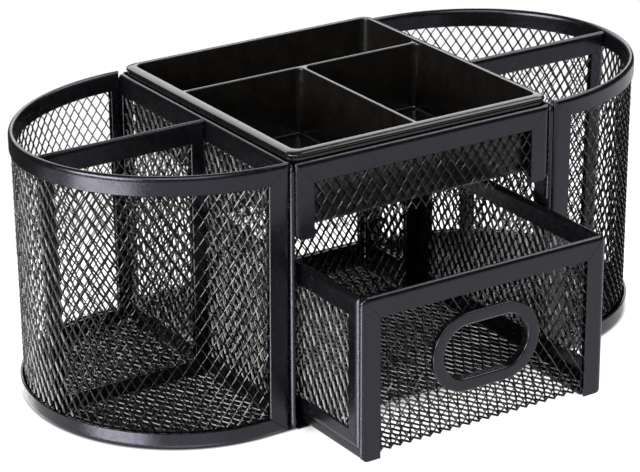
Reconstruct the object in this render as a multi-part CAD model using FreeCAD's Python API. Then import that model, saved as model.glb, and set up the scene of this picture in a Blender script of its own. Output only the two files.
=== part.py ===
"""Mesh pen stand: a square housing with a drawer and a lift-out tray, between two D-shaped cups.

Every panel is a sheet of expanded metal whose edges are gripped in a folded steel hem. The origin is the
middle of the housing's floor, on the desk. +X runs along the stand, -Y is the front, +Z is up.
"""
import FreeCAD, Part
import math
import os

from FreeCAD import Vector

# Housing
BOX_WIDTH = 112.0            # over the outer faces of the two side panels
BOX_DEPTH = 118.0            # from the front panel's face to the rear panel's face
BOX_HEIGHT = 99.0
FRONT_PANEL_HEIGHT = 28.0    # the short panel above the drawer
FRONT_POST_WIDTH = 7.5
REAR_POST_WIDTH = 3.0
SIDE_REAR_POST = 4.0         # a side panel's rear post; its front one is as wide as the rails
FLOOR_HEM_WIDTH = 8.0
FLOOR_HEM_THICK = 1.4        # the floor's hem only folds over the top of its mesh
PANEL_CORNER = 3.0           # outer corner radius of the flat panels

# Sheet metal
MESH_THICK = 1.0             # expanded metal over its tilted strands
HEM_THICK = 2.4              # a hem folded over the mesh
HEM_WIDTH = 8.0              # rails and posts of the panels
GRIP = 5.0                   # how far the mesh reaches into a hem
DIAMOND_WIDE = 15.5          # the flat panels' diamonds, drawn coarse; each panel holds whole ones
DIAMOND_TALL = 23.0
STRAND = 3.3                 # metal between two diamonds

# Cups
CUP_RISE = 1.0               # rim above the housing's rails
CUP_REACH = 69.0             # rim, beyond the housing's side panel
CUP_RIM_STRAIGHT = 0.5       # straight stretch of the rim before it curves
CUP_FOOT_STRAIGHT = 10.5
CUP_FOOT_DRAW_IN = 2.0       # how much shorter the foot reaches than the rim
CUP_FOOT_TUCK = 1.5          # how much the foot is narrower on each side
RIM_BAND = 7.0
RING_HEIGHT = 6.3
RING_PROUD = 0.6             # base ring, outside the line of the posts
CUP_FRONT_POST = 8.0
CUP_REAR_POST = 4.0
CUP_FLOOR_LIFT = 1.0
DIVIDER_Y = -3.0
DIVIDER_DROP = 0.8           # divider's top edge below the rim
DIVIDER_END_HEM = 6.0

# Drawer
DRAWER_SIDE_GAP = 2.1
DRAWER_FLOOR_GAP = 0.3
DRAWER_REAR_GAP = 3.3        # behind the drawer when its front is flush
DRAWER_HEIGHT = 60.2
DRAWER_OPENING = 36.5        # how far it stands open at rest
DRAWER_POST = 7.7
DRAWER_SIDE_HEM = 6.0
DRAWER_CORNER = 2.5
RUNNER_HEIGHT = 4.0
RUNNER_RECESS = 0.8          # behind the face of the drawer's side
RUNNER_THICK = 1.2
RUNNER_FOOT = 6.0
DRAWER_FLOOR_LIFT = 1.1      # mesh floor above the drawer's lowest edge
DRAWER_BEND = 2.0            # outer radius of the sheet's two bends

# Finger ring
RING_LENGTH = 45.2
RING_WIDTH = 29.4
RING_BAND = 4.7
RING_THICK = 1.3
RING_COLLAR = 1.0
RING_RISE = 30.8             # ring's centre above the drawer's lowest edge
RING_BACK_BAND = 3.6

# Tray
TRAY_OVERLAP = 0.5           # how far its seat lies over the housing's rails
TRAY_BEAD_PROUD = 0.3        # rim's bead, outside the seat below it
TRAY_BEAD_HEIGHT = 1.9
TRAY_HEIGHT = 28.4
TRAY_RIM_HEIGHT = 3.4        # rim's top above the rails
TRAY_WALL = 2.1
TRAY_BODY_GAP = 0.4          # between its body and the housing's rails
TRAY_DRAFT = 1.0             # how much each wall leans in towards the floor
TRAY_FLOOR = 1.8
TRAY_CORNER = 4.0
TRAY_POCKET_CORNER = 3.0
TRAY_DIVIDER_Y = 20.5
TRAY_DIVIDER_THICK = 1.5
TRAY_DIVIDER_DROP = 0.8

BIG = 500.0                  # reach of a cutting solid past anything here
OVERCUT = 1.0                # how far a cutting solid runs past the face it opens

X, Y, Z = Vector(1, 0, 0), Vector(0, 1, 0), Vector(0, 0, 1)

half_width = BOX_WIDTH / 2
half_depth = BOX_DEPTH / 2
cup_height = BOX_HEIGHT + CUP_RISE
inner_half = half_width - HEM_THICK          # inside faces of the side panels
mesh_inset = (HEM_THICK - MESH_THICK) / 2    # mesh sits midway in a hem
mesh_edge = HEM_WIDTH - GRIP                 # mesh's edge, in from a hem's edge


def block(x0, x1, y0, y1, z0, z1):
    """A box between two corners."""
    return Part.makeBox(x1 - x0, y1 - y0, z1 - z0, Vector(x0, y0, z0))


def rounded_rectangle(half_x, half_y, radius, z, centre=(0.0, 0.0)):
    """A closed wire in a level plane: straight sides joined by quarter circles."""
    cx, cy = centre
    corners = ((1, 1, 0), (-1, 1, 90), (-1, -1, 180), (1, -1, 270))
    edges = []
    last = None
    for sx, sy, start in corners:
        middle = Vector(cx + sx * (half_x - radius), cy + sy * (half_y - radius), z)
        points = [middle + Vector(radius * math.cos(math.radians(start + turn)),
                                  radius * math.sin(math.radians(start + turn)), 0) for turn in (0, 45, 90)]
        if last is not None:
            edges.append(Part.makeLine(last, points[0]))
        edges.append(Part.Arc(*points).toShape())
        last = points[2]
    edges.append(Part.makeLine(last, edges[0].Vertexes[0].Point))
    return Part.Wire(edges)


def plate(half_u, v0, v1, thick, radius, plane, at):
    """A flat sheet with rounded corners, u across and v up or back; at is its low face.

    plane "xz" stands it across the stand, "yz" along the depth and "xy" lays it level.
    """
    wire = rounded_rectangle(half_u, (v1 - v0) / 2, radius, 0, (0, (v0 + v1) / 2))
    sheet = Part.Face(wire).extrude(Vector(0, 0, thick))
    if plane == "xz":
        sheet.rotate(Vector(0, 0, 0), Vector(1, 0, 0), 90)
        sheet.translate(Vector(0, at + thick, 0))
    elif plane == "yz":
        sheet.rotate(Vector(0, 0, 0), Vector(1, 1, 1), 120)
        sheet.translate(Vector(at, 0, 0))
    else:
        sheet.translate(Vector(0, 0, at))
    return sheet


def stadium(length, width, y0, y1, z):
    """A bar of stadium section along Y: two half circles joined by straights, centred on x = 0."""
    radius = width / 2
    run = (length - width) / 2
    bar = block(-run, run, y0, y1, z - radius, z + radius)
    for x in (-run, run):
        bar = bar.fuse(Part.makeCylinder(radius, y1 - y0, Vector(x, y0, z), Vector(0, 1, 0)))
    return bar.removeSplitter()


def mirrored(shape):
    """The same piece on the other side of the stand."""
    return shape.mirror(Vector(0, 0, 0), Vector(1, 0, 0))


def cup_outline(z, inset, start):
    """A cup's plan at height z, moved in by inset: a straight, two quarter ellipses and a straight.

    All of its sizes run evenly from the foot to the rim, and the wire is closed by a line at x = start.
    """
    share = z / cup_height
    straight = CUP_FOOT_STRAIGHT + (CUP_RIM_STRAIGHT - CUP_FOOT_STRAIGHT) * share
    reach = CUP_REACH - CUP_FOOT_DRAW_IN * (1 - share) - inset
    half = half_depth - CUP_FOOT_TUCK * (1 - share) - inset
    knee, nose = half_width + straight, half_width + reach
    corner_weights = [1, math.sqrt(0.5), 1]

    def quarter(points):
        curve = Part.BSplineCurve()
        curve.buildFromPolesMultsKnots([Vector(x, y, z) for x, y in points], [3, 3], [0, 1], False, 2,
                                       corner_weights)
        return curve.toShape()

    front, back = Vector(knee, -half, z), Vector(knee, half, z)
    near, far = Vector(start, -half, z), Vector(start, half, z)
    return Part.Wire([Part.makeLine(near, front),
                      quarter([(knee, -half), (nose, -half), (nose, 0)]),
                      quarter([(nose, 0), (nose, half), (knee, half)]),
                      Part.makeLine(back, far),
                      Part.makeLine(far, near)])


def cup_core(z0, z1, inset, start=half_width):
    """The cup's solid form between two heights, moved in by inset."""
    return Part.makeLoft([cup_outline(z0, inset, start), cup_outline(z1, inset, start)], True, True)


def cup_shell(z0, z1, outer, inner):
    """The cup's wall between two insets, open towards the housing."""
    hollow = cup_core(z0 - OVERCUT, z1 + OVERCUT, inner, half_width - OVERCUT)
    return cup_core(z0, z1, outer).cut(hollow)


def side_view_prism(points, y0, y1):
    """A prism along Y whose outline is given by x, z points."""
    corners = [Vector(x, y0, z) for x, z in points]
    return Part.Face(Part.makePolygon(corners + corners[:1])).extrude(Vector(0, y1 - y0, 0))


def diamond_grid(width, height):
    """Centres, from a window's corner, and half diagonals of the staggered diamonds that fill it.

    The window is divided into whole cells. A diamond stands in each cell and one more between each four,
    all drawn in from the cell's own outline by half a strand.
    """
    across = max(1, round(width / DIAMOND_WIDE))
    up = max(1, round(height / DIAMOND_TALL))
    cell_u, cell_v = width / across, height / up
    shrink = 1 - STRAND * math.hypot(cell_u, cell_v) / (cell_u * cell_v)
    centres = [((i + 0.5) * cell_u, (j + 0.5) * cell_v) for i in range(across) for j in range(up)]
    centres += [(i * cell_u, j * cell_v) for i in range(1, across) for j in range(1, up)]
    return centres, cell_u / 2 * shrink, cell_v / 2 * shrink


def diamond(centre, across, up, half_u, half_v):
    """A prism of diamond section through a sheet that runs across and up at its centre."""
    through = across.cross(up) * (2 * MESH_THICK)
    corners = [centre - through + across * u + up * v
               for u, v in ((half_u, 0), (0, half_v), (-half_u, 0), (0, -half_v))]
    return Part.Face(Part.makePolygon(corners + corners[:1])).extrude(through * 2)


def opened(sheet, corner, across, up, width, height, clear=lambda u, v, half_u, half_v: True):
    """A flat sheet with a window full of diamonds cut through it, apart from those that aren't clear."""
    centres, half_u, half_v = diamond_grid(width, height)
    return sheet.cut([diamond(corner + across * u + up * v, across, up, half_u, half_v)
                      for u, v in centres if clear(u, v, half_u, half_v)])


def framed(outer, window, mesh):
    """A hem frame: the panel's outline less its window and the slot that grips the mesh."""
    return outer.cut(window).cut(mesh)


def opened_cup_floor(floor, z):
    """The cup's floor with the diamonds that fit inside its base ring."""
    outer_x = CUP_REACH - CUP_FOOT_DRAW_IN - HEM_THICK
    outer_y = half_depth - CUP_FOOT_TUCK - HEM_THICK
    knee = CUP_FOOT_STRAIGHT

    def inside(u, v, half_u, half_v):
        x = max(u + half_u - knee, 0) / (outer_x - STRAND - knee)
        y = max(abs(v - outer_y) + half_v, 0) / (outer_y - STRAND)
        return math.hypot(x, y) < 1

    return opened(floor, Vector(half_width, -outer_y, z), X, Y, outer_x, 2 * outer_y, inside)


def cup_parts():
    """The right-hand cup: curved mesh, its four hems, its floor and its divider."""
    x0, far = half_width, half_width + BIG
    rim_z = cup_height - RIM_BAND
    floor_top = CUP_FLOOR_LIFT + MESH_THICK
    wall = cup_shell(RING_HEIGHT - GRIP, cup_height - RIM_BAND + GRIP, mesh_inset, mesh_inset + MESH_THICK)
    wall = wall.cut(block(-BIG, x0 + mesh_edge, -BIG, BIG, -BIG, BIG))
    floor = cup_core(CUP_FLOOR_LIFT, floor_top, mesh_inset + MESH_THICK, x0)

    rim_zones, ring_zones, post_zones = [], [], []
    for width, y0, y1 in ((CUP_FRONT_POST, -BIG, 0), (CUP_REAR_POST, 0, BIG)):
        foot, head = (x0 + width, RING_HEIGHT), (x0 + width, rim_z)
        rim_zones.append(side_view_prism([(x0, cup_height), head, (far, rim_z), (far, cup_height)], y0, y1))
        ring_zones.append(side_view_prism([(x0, 0), foot, (far, RING_HEIGHT), (far, 0)], y0, y1))
        post_zones.append(side_view_prism([(x0, 0), foot, head, (x0, cup_height)], y0, y1))
    rim_zone = rim_zones[0].fuse(rim_zones[1]).removeSplitter()
    ring_zone = ring_zones[0].fuse(ring_zones[1]).removeSplitter()
    hem_wall = cup_shell(0, cup_height, 0, HEM_THICK)
    ring_wall = cup_shell(0, RING_HEIGHT, -RING_PROUD, HEM_THICK)

    divider_z1 = cup_height - DIVIDER_DROP
    end_hem = DIVIDER_END_HEM

    def divider_sheet(inset_ends, inset_base, inset_top, thick):
        """A slice of the cup's inside, moved in at its ends, base and top."""
        slab = block(x0 + inset_ends, far, DIVIDER_Y - thick / 2, DIVIDER_Y + thick / 2,
                     floor_top + inset_base, divider_z1 - inset_top)
        return slab.common(cup_core(0, cup_height, HEM_THICK + inset_ends))

    divider_mesh = divider_sheet(end_hem - GRIP, end_hem - GRIP, mesh_edge, MESH_THICK)
    divider_window = divider_sheet(end_hem, end_hem, HEM_WIDTH, HEM_THICK)
    divider_corner = Vector(x0 + end_hem, DIVIDER_Y, floor_top + end_hem)
    divider_reach = CUP_REACH - CUP_FOOT_DRAW_IN - HEM_THICK - 2 * end_hem
    divider_rise = divider_z1 - HEM_WIDTH - divider_corner.z
    return {
        "cup_wall_mesh": wall,
        "cup_rim": hem_wall.common(rim_zone).cut(wall),
        "cup_base_ring": ring_wall.common(ring_zone).cut(wall).cut(floor),
        "cup_front_post": hem_wall.common(post_zones[0]).cut(wall).cut(floor),
        "cup_rear_post": hem_wall.common(post_zones[1]).cut(wall).cut(floor),
        "cup_floor_mesh": opened_cup_floor(floor, floor_top),
        "cup_divider_mesh": opened(divider_mesh, divider_corner, X, Z, divider_reach, divider_rise),
        "cup_divider_frame": framed(divider_sheet(0, 0, 0, HEM_THICK), divider_window, divider_mesh),
    }


def box_side_parts():
    """The right-hand side panel, full height, shared by the housing and the cup."""
    panel = plate(half_depth, 0, BOX_HEIGHT, HEM_THICK, PANEL_CORNER, "yz", inner_half)
    mesh = plate(half_depth - mesh_edge, mesh_edge, BOX_HEIGHT - mesh_edge, MESH_THICK, PANEL_CORNER, "yz",
                 inner_half + mesh_inset)
    y0, y1 = -half_depth + HEM_WIDTH, half_depth - SIDE_REAR_POST
    z0, z1 = HEM_WIDTH, BOX_HEIGHT - HEM_WIDTH
    corner = Vector(half_width - HEM_THICK / 2, y0, z0)
    return {"box_side_mesh": opened(mesh, corner, Y, Z, y1 - y0, z1 - z0),
            "box_side_frame": framed(panel, block(-BIG, BIG, y0, y1, z0, z1), mesh)}


def box_parts():
    """The housing's rear panel, short front panel and floor, which stand between the side panels."""
    rear_y = half_depth - HEM_THICK
    rear = block(-inner_half, inner_half, rear_y, half_depth, 0, BOX_HEIGHT)
    rear_mesh_half = inner_half - REAR_POST_WIDTH / 2
    rear_mesh = block(-rear_mesh_half, rear_mesh_half, rear_y + mesh_inset, rear_y + mesh_inset + MESH_THICK,
                      mesh_edge, BOX_HEIGHT - mesh_edge)
    rear_window_half = inner_half - REAR_POST_WIDTH
    rear_window = block(-rear_window_half, rear_window_half, -BIG, BIG, HEM_WIDTH, BOX_HEIGHT - HEM_WIDTH)

    front_y, front_z = -half_depth, BOX_HEIGHT - FRONT_PANEL_HEIGHT
    front = plate(inner_half, front_z, BOX_HEIGHT + PANEL_CORNER, HEM_THICK, PANEL_CORNER, "xz", front_y)
    front = front.cut(block(-BIG, BIG, -BIG, BIG, BOX_HEIGHT, BIG))
    front_half = inner_half - FRONT_POST_WIDTH
    front_mesh = block(-front_half - GRIP, front_half + GRIP, front_y + mesh_inset,
                       front_y + mesh_inset + MESH_THICK, front_z + mesh_inset, BOX_HEIGHT - mesh_edge)
    front_window = block(-front_half, front_half, -BIG, BIG, -BIG, BOX_HEIGHT - HEM_WIDTH)

    floor_edge = FLOOR_HEM_WIDTH - GRIP
    floor = block(-inner_half, inner_half, front_y, rear_y, 0, FLOOR_HEM_THICK)
    floor_mesh = block(-inner_half + floor_edge, inner_half - floor_edge, front_y + floor_edge,
                       rear_y - floor_edge, 0, MESH_THICK)
    floor_window = block(-inner_half + FLOOR_HEM_WIDTH, inner_half - FLOOR_HEM_WIDTH,
                         front_y + FLOOR_HEM_WIDTH, rear_y - FLOOR_HEM_WIDTH, -BIG, BIG)
    rear_corner = Vector(-rear_window_half, rear_y, HEM_WIDTH)
    front_corner = Vector(-front_half, front_y, front_z + mesh_inset)
    rear_opened = opened(rear_mesh, rear_corner, X, Z, 2 * rear_window_half, BOX_HEIGHT - 2 * HEM_WIDTH)
    front_opened = opened(front_mesh, front_corner, X, Z, 2 * front_half,
                          BOX_HEIGHT - HEM_WIDTH - front_corner.z)
    return {
        "box_rear_mesh": rear_opened, "box_rear_frame": framed(rear, rear_window, rear_mesh),
        "box_front_mesh": front_opened, "box_front_frame": framed(front, front_window, front_mesh),
        "box_floor_mesh": floor_mesh, "box_floor_frame": framed(floor, floor_window, floor_mesh),
    }


drawer_half = inner_half - DRAWER_SIDE_GAP
drawer_z0 = FLOOR_HEM_THICK + DRAWER_FLOOR_GAP
drawer_z1 = drawer_z0 + DRAWER_HEIGHT
drawer_y0 = -half_depth - DRAWER_OPENING
drawer_y1 = half_depth - HEM_THICK - DRAWER_REAR_GAP - DRAWER_OPENING
side_y0, side_y1 = drawer_y0 + HEM_THICK, drawer_y1 - HEM_THICK
side_z0 = drawer_z0 + RUNNER_HEIGHT
ring_z = drawer_z0 + RING_RISE
hole_length, hole_width = RING_LENGTH - 2 * RING_BAND, RING_WIDTH - 2 * RING_BAND


def drawer_sheet():
    """One sheet of mesh bent twice: the drawer's front, floor and rear."""
    half = drawer_half - HEM_THICK
    y0, y1 = drawer_y0 + mesh_inset, drawer_y1 - mesh_inset
    z0, z1 = drawer_z0 + DRAWER_FLOOR_LIFT, drawer_z1 - mesh_edge

    def tub(inset):
        body = block(-half, half, y0 + inset, y1 - inset, z0 + inset, z1 + inset)
        low = [edge for edge in body.Edges
               if all(abs(v.Z - z0 - inset) < 1e-6 for v in edge.Vertexes)
               and abs(edge.Vertexes[0].X - edge.Vertexes[1].X) > half]
        return body.makeFillet(DRAWER_BEND - inset, low)

    hollow = tub(MESH_THICK)
    wider = block(-BIG, BIG, y0 + MESH_THICK, y1 - MESH_THICK, z0 + DRAWER_BEND, BIG)
    sheet = tub(0).cut(hollow).cut(wider)
    hole = stadium(hole_length + 2 * RING_COLLAR, hole_width + 2 * RING_COLLAR,
                   drawer_y0 - OVERCUT, side_y0 + OVERCUT, ring_z)
    return sheet.cut(hole)


def opened_drawer_sheet(sheet):
    """The bent sheet with its diamonds; those of its front keep clear of the finger ring."""
    half = drawer_half - DRAWER_POST
    foot = drawer_z0 + DRAWER_FLOOR_LIFT + DRAWER_BEND
    rise = drawer_z1 - HEM_WIDTH - foot
    bend = mesh_inset + DRAWER_BEND

    def clears_ring(u, v, half_u, half_v):
        beside = abs(u - half) > RING_LENGTH / 2 + half_u
        return beside or abs(foot + v - ring_z) > RING_WIDTH / 2 + half_v

    front = Vector(-half, drawer_y0 + mesh_inset, foot)
    rear = Vector(-half, drawer_y1 - mesh_inset, foot)
    floor = Vector(-half, drawer_y0 + bend, foot - DRAWER_BEND)
    sheet = opened(sheet, front, X, Z, 2 * half, rise, clears_ring)
    sheet = opened(sheet, rear, X, Z, 2 * half, rise)
    return opened(sheet, floor, X, Y, 2 * half, drawer_y1 - drawer_y0 - 2 * bend)


def drawer_end_frame(y0, post, z0):
    """The hem round the top and both upright edges of the drawer's front or rear."""
    frame = plate(drawer_half, z0, drawer_z1, HEM_THICK, DRAWER_CORNER, "xz", y0)
    window = block(-drawer_half + post, drawer_half - post, -BIG, BIG, -BIG, drawer_z1 - HEM_WIDTH)
    return frame.cut(window)


def drawer_side_parts():
    """The drawer's right-hand side panel and the folded runner that carries it."""
    x0 = drawer_half - HEM_THICK
    edge = DRAWER_SIDE_HEM - GRIP
    panel = block(x0, drawer_half, side_y0, side_y1, side_z0, drawer_z1)
    mesh = block(x0 + mesh_inset, x0 + mesh_inset + MESH_THICK, side_y0 + edge, side_y1 - edge,
                 side_z0 + edge, drawer_z1 - mesh_edge)
    window = block(-BIG, BIG, side_y0 + DRAWER_SIDE_HEM, side_y1 - DRAWER_SIDE_HEM,
                   side_z0 + DRAWER_SIDE_HEM, drawer_z1 - HEM_WIDTH)
    runner_x1 = drawer_half - RUNNER_RECESS
    runner_x0 = runner_x1 - RUNNER_THICK
    runner = block(runner_x0, runner_x1, side_y0, side_y1, drawer_z0, side_z0)
    foot = block(runner_x0 - RUNNER_FOOT, runner_x0, side_y0, side_y1, drawer_z0,
                 drawer_z0 + DRAWER_FLOOR_LIFT)
    corner = Vector(drawer_half - HEM_THICK / 2, side_y0 + DRAWER_SIDE_HEM, side_z0 + DRAWER_SIDE_HEM)
    opened_mesh = opened(mesh, corner, Y, Z, side_y1 - side_y0 - 2 * DRAWER_SIDE_HEM,
                         drawer_z1 - HEM_WIDTH - corner.z)
    return {"drawer_side_mesh": opened_mesh, "drawer_side_frame": framed(panel, window, mesh),
            "drawer_runner": runner.fuse(foot).removeSplitter()}


def drawer_parts():
    """The drawer's bent mesh sheet, its end hems and the finger ring clamped through its front."""
    sheet = drawer_sheet()
    front = drawer_end_frame(drawer_y0, DRAWER_POST, drawer_z0)
    rear = drawer_end_frame(drawer_y1 - HEM_THICK, HEM_WIDTH, drawer_z0)
    mesh_front = drawer_y0 + mesh_inset
    mesh_back = mesh_front + MESH_THICK
    hole = stadium(hole_length, hole_width, drawer_y0 - BIG, drawer_y0 + BIG, ring_z)
    flange = stadium(RING_LENGTH, RING_WIDTH, mesh_front - RING_THICK, mesh_front, ring_z)
    collar = stadium(hole_length + 2 * RING_COLLAR, hole_width + 2 * RING_COLLAR,
                     mesh_front, mesh_back, ring_z)
    back = stadium(hole_length + 2 * RING_BACK_BAND, hole_width + 2 * RING_BACK_BAND, mesh_back,
                   mesh_back + RING_THICK, ring_z)
    return {
        "drawer_sheet_mesh": opened_drawer_sheet(sheet),
        "drawer_front_frame": front.cut(sheet),
        "drawer_rear_frame": rear.cut(sheet),
        "finger_ring_front": flange.fuse(collar).cut(hole),
        "finger_ring_back": back.cut(hole),
    }


def tray():
    """The moulded tray: a drafted body with three pockets, hung by a turned-down rim on the rails."""
    seat_x = inner_half + TRAY_OVERLAP
    seat_y = half_depth - HEM_THICK + TRAY_OVERLAP
    body_x = inner_half - TRAY_BODY_GAP
    body_y = half_depth - HEM_THICK - TRAY_BODY_GAP
    top = BOX_HEIGHT + TRAY_RIM_HEIGHT
    base = top - TRAY_HEIGHT
    pocket_top = top - TRAY_DIVIDER_DROP
    floor = base + TRAY_FLOOR

    def drafted(half_x, half_y, z0, z1, radius, centre=(0.0, 0.0)):
        low = rounded_rectangle(half_x - TRAY_DRAFT, half_y - TRAY_DRAFT, radius, z0, centre)
        high = rounded_rectangle(half_x, half_y, radius, z1, centre)
        return Part.makeLoft([low, high], True, True)

    def upright(half_x, half_y, z0, z1, radius):
        return Part.Face(rounded_rectangle(half_x, half_y, radius, z0)).extrude(Vector(0, 0, z1 - z0))

    inner_x, inner_y = body_x - TRAY_WALL, body_y - TRAY_WALL
    half_wall = TRAY_DIVIDER_THICK / 2
    seat = upright(seat_x, seat_y, BOX_HEIGHT, top, TRAY_CORNER)
    bead = upright(seat_x + TRAY_BEAD_PROUD, seat_y + TRAY_BEAD_PROUD, top - TRAY_BEAD_HEIGHT, top,
                   TRAY_CORNER + TRAY_BEAD_PROUD)
    body = drafted(body_x, body_y, base, top, TRAY_POCKET_CORNER + TRAY_WALL)
    shape = body.fuse([seat, bead])
    pockets = [(-inner_x, inner_x, TRAY_DIVIDER_Y + half_wall, inner_y),
               (-inner_x, -half_wall, -inner_y, TRAY_DIVIDER_Y - half_wall),
               (half_wall, inner_x, -inner_y, TRAY_DIVIDER_Y - half_wall)]
    for x0, x1, y0, y1 in pockets:
        shape = shape.cut(drafted((x1 - x0) / 2, (y1 - y0) / 2, floor, pocket_top, TRAY_POCKET_CORNER,
                                  ((x0 + x1) / 2, (y0 + y1) / 2)))
    mouth = upright(inner_x, inner_y, pocket_top, top + OVERCUT, TRAY_POCKET_CORNER)
    return shape.cut(mouth).removeSplitter()


def main():
    os.makedirs("parts", exist_ok=True)
    nodes = dict(box_parts())
    for name, shape in {**box_side_parts(), **cup_parts(), **drawer_side_parts()}.items():
        nodes[name + "_right"] = shape
        nodes[name + "_left"] = mirrored(shape)
    nodes.update(drawer_parts())
    nodes["tray"] = tray()
    for name, shape in nodes.items():
        if not shape.isValid() or len(shape.Solids) != 1:
            raise ValueError(f"{name}: {len(shape.Solids)} solids, valid {shape.isValid()}")
        shape.Solids[0].exportStep(f"parts/{name}.step")
        print(f"{name:28s} volume {shape.Volume:9.1f}")


main()
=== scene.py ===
"""Pen stand of expanded metal: two D-shaped cups, a housing, a drawer with a finger ring and a loose tray.

Lengths are metres, in the stand's own frame. Every panel is described on its middle surface by u, to the
right as seen from outside, v, upwards, and w, outwards; a place function turns u, v, w into x, y, z.
"""
import math

import bpy
import numpy as np
from mathutils import Matrix, Vector


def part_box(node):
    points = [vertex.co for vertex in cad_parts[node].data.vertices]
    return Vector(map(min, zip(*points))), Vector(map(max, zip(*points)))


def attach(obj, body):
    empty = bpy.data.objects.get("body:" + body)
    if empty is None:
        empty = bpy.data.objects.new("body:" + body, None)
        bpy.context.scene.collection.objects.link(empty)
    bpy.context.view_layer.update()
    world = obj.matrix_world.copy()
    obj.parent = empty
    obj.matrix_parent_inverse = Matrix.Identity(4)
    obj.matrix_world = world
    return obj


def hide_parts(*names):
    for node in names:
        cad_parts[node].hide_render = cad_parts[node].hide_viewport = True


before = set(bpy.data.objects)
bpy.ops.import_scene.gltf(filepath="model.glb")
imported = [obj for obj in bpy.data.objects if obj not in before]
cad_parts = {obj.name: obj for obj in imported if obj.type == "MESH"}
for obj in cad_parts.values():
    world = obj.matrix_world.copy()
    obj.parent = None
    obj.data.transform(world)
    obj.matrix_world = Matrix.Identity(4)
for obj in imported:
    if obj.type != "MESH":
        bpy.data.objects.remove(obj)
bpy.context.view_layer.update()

MM = 0.001

# Expanded metal
DIAMOND_WIDE = 4.15 * MM
DIAMOND_TALL = 6.2 * MM
STRAND_WIDTH = 0.74 * MM
STRAND_THICK = 0.32 * MM
STRAND_CROWN = 0.07 * MM     # how far a strand's wide sides stand up along their middle
STRAND_TILT = math.radians(-50)
TILT_SPREAD = math.radians(5)
TILT_SEED = 11
STRAND_SIDES = 6
SHORTEST = 1e-9              # a stretch no longer than this is left out
KNOT_LENGTH = 0.5 * MM
KNOT_OVERLAP = 0.30          # share of a strand's width between a knot's middle and each strand's middle
STRAND_RISE = STRAND_WIDTH * abs(math.sin(STRAND_TILT))
MESH_THICK = (1 + 2 * KNOT_OVERLAP) * STRAND_RISE + STRAND_THICK * math.cos(STRAND_TILT)

# Folded hems
SHEET = 0.7 * MM
HEM_WIDTH = 8.0 * MM
GRIP = 5.0 * MM              # how far the mesh reaches into a hem
LIP_ROUND = 0.22 * MM
FOLD_DEPTH = 2.0 * MM        # how far a fold's rounding reaches in from its edge
MITRE_GAP = 0.16 * MM
FLAT_START = 0.7             # first line across the flat, as a share of a panel's corner
FOLD_STEPS = 14
CORNER_STEPS = 6
CORNER_LEAD = 1.0 * MM       # straight stretch before a rounded corner
PANEL_CORNER = 3.0 * MM
SIDE_REAR_POST = 4.0 * MM
REAR_PANEL_POST = 3.0 * MM
FRONT_PANEL_POST = 7.5 * MM

# Cups
CUP_RIM_STRAIGHT = 0.5 * MM
CUP_FOOT_STRAIGHT = 10.5 * MM
CUP_FOOT_DRAW_IN = 2.0 * MM
CUP_FOOT_TUCK = 1.5 * MM
RING_PROUD = 0.6 * MM
CUP_STEPS = 110
CURVE_STEPS = 240            # stations of half a cup's plan round its curve
STRAIGHT_STEPS = 24          # and along its straight
DIVIDER_END_HEM = 6.0 * MM

# Drawer
DRAWER_POST = 7.7 * MM
DRAWER_SIDE_HEM = 6.0 * MM
DRAWER_CORNER = 2.5 * MM
SOLID_SHEET = 1.0 * MM       # thickness of the plain sheet that the drawer's strands stand for
BEND_RADIUS = 1.5 * MM
BEND_STEPS = 8
RUNNER_GAUGE = 1.1 * MM
RUNNER_BEND = 1.6 * MM
RUNNER_STEPS = 6

# Finger ring
RING_STEPS = 28
RING_HOLE_BAND = 2.6 * MM    # ring's outer edge to the hole in the mesh
RING_BAND = 4.7 * MM
RING_ROLL = 0.75 * MM        # rounding of its mouth
RING_EDGE = 0.45 * MM        # rounding of its outer edge
RING_BEVEL = 1.5 * MM        # where the flat face ends, in from the outer edge
RING_SEAT = 1.0 * MM         # depth of the collar through the mesh
RING_COLLAR = 0.7 * MM
WASHER_EDGE = 0.3 * MM
ROLL_STEPS = 5

# Tray
TRAY_CORNER = 4.0 * MM
TRAY_WALL = 2.1 * MM
TRAY_FLOOR = 1.8 * MM
TRAY_DRAFT = 1.0 * MM
TRAY_SEAT = 0.3 * MM         # how far the seat lies inside the rim
TRAY_GAP = 0.4 * MM          # between the tray's body and the hems round it
TRAY_BODY_CORNER = 5.1 * MM
TRAY_EDGE = 1.2 * MM         # rounding under the body
TRAY_FOOT = 1.6 * MM         # rounding inside, where walls meet the floor
TRAY_FOOT_CORNER = 1.2 * MM  # how much wider the pockets' corners are at the floor
TRAY_SHARP = 0.6 * MM        # least corner radius
TRAY_LIP = 0.4 * MM          # rounding where the rim turns into the mouth
TRAY_CROWN_DROP = 1.35 * MM  # how far the rim's crown falls to its outer edge
TRAY_CROWN_STEPS = 14
TRAY_LIP_STEPS = 4
TRAY_ROUND_STEPS = 5
TRAY_DIVIDER_Y = 20.5 * MM
TRAY_DIVIDER_THICK = 1.5 * MM
TRAY_DIVIDER_DROP = 0.8 * MM
TRAY_DIVIDER_BURY = 0.8 * MM
TRAY_DIVIDER_BEAD = 0.55 * MM
TRAY_DIVIDER_DRAFT = 0.35    # share of the walls' draft
FILLET_STEPS = 8
FOOT_STEPS = 6
BEAD_STEPS = 4
TRAY_POCKET_CORNER = 3.0 * MM
TRAY_CORNER_STEPS = 8
TRAY_SEAT_LINES = (          # inset and height over the housing of the lines up the seat
    (0.25 * MM, 0.02 * MM), (0.0, 0.3 * MM), (0.0, 1.15 * MM), (0.35 * MM, 1.4 * MM))
TRAY_BEAD_LINES = (          # and of those that lead out to the rim
    (0.25 * MM, 1.5 * MM), (0.0, 1.8 * MM))

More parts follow.
